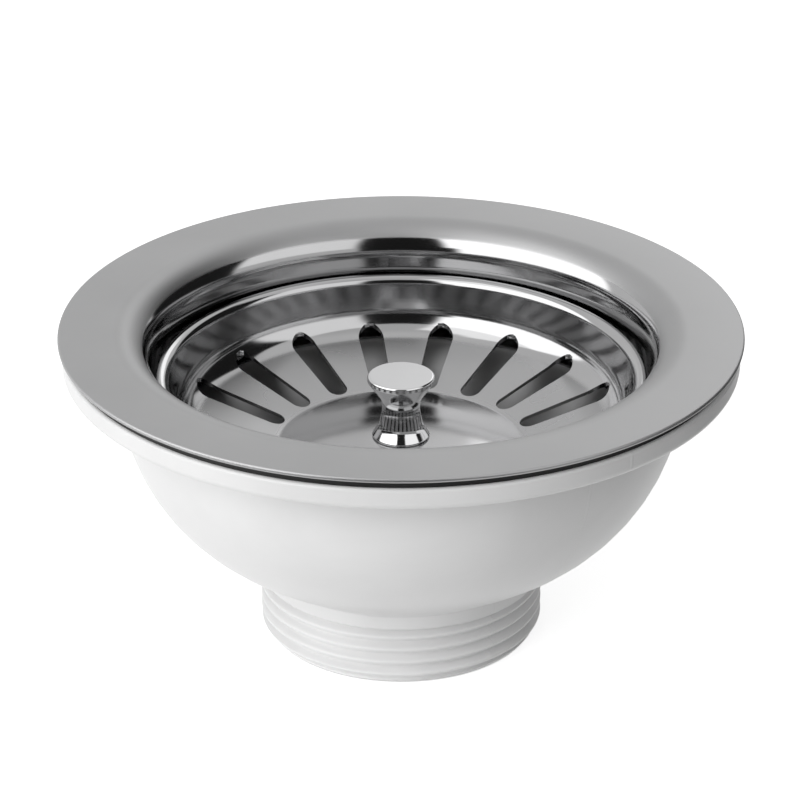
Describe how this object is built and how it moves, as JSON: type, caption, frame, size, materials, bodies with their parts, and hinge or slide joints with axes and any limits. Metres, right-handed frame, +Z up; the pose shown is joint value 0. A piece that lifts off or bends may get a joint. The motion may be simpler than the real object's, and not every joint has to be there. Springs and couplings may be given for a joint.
{
  "type": "sink basket strainer waste",
  "caption": "Round kitchen-sink waste: dished steel flange, white moulded body with a threaded outlet, and a lift-out slotted basket with a turned knob.",
  "frame": {"origin": "centre of the outlet's lower end, on the axis of the waste", "axes": "+Z up the axis from outlet to flange; +X and +Y level, two webs of the body lie along each"},
  "size_m": [0.114, 0.114, 0.055],
  "materials": {
    "satin_steel": "satin",
    "chrome_plate": "polished",
    "screw_steel": "satin",
    "brass_nut": "machined",
    "black_rubber": "matt",
    "pale_rubber": "matt",
    "white_moulding": "moulded",
    "dark_moulding": "moulded",
    "pale_moulding": "moulded"
  },
  "bodies": {
    "waste": {"sink_flange": "satin_steel", "upper_gasket": "black_rubber", "lower_gasket": "pale_rubber", "waste_body": "white_moulding", "insert_nut": "brass_nut", "hollow_screw": "screw_steel"},
    "catch": {"catch_spigot": "pale_moulding", "grip_ring": "black_rubber"},
    "basket": {"strainer_basket": "satin_steel", "lifting_knob": "chrome_plate", "seal_carrier": "dark_moulding", "plug_seal": "black_rubber", "stem_screw": "screw_steel"}
  },
  "joints": [
    {"name": "basket_lift", "type": "slide", "parent": "waste", "child": "catch", "axis": [0, 0, 1], "range_m": [0, 0.048]},
    {"name": "basket_turn", "type": "hinge", "parent": "catch", "child": "basket", "pos_m": [0, 0, 0.03], "axis": [0, 0, 1], "continuous": true}
  ]
}
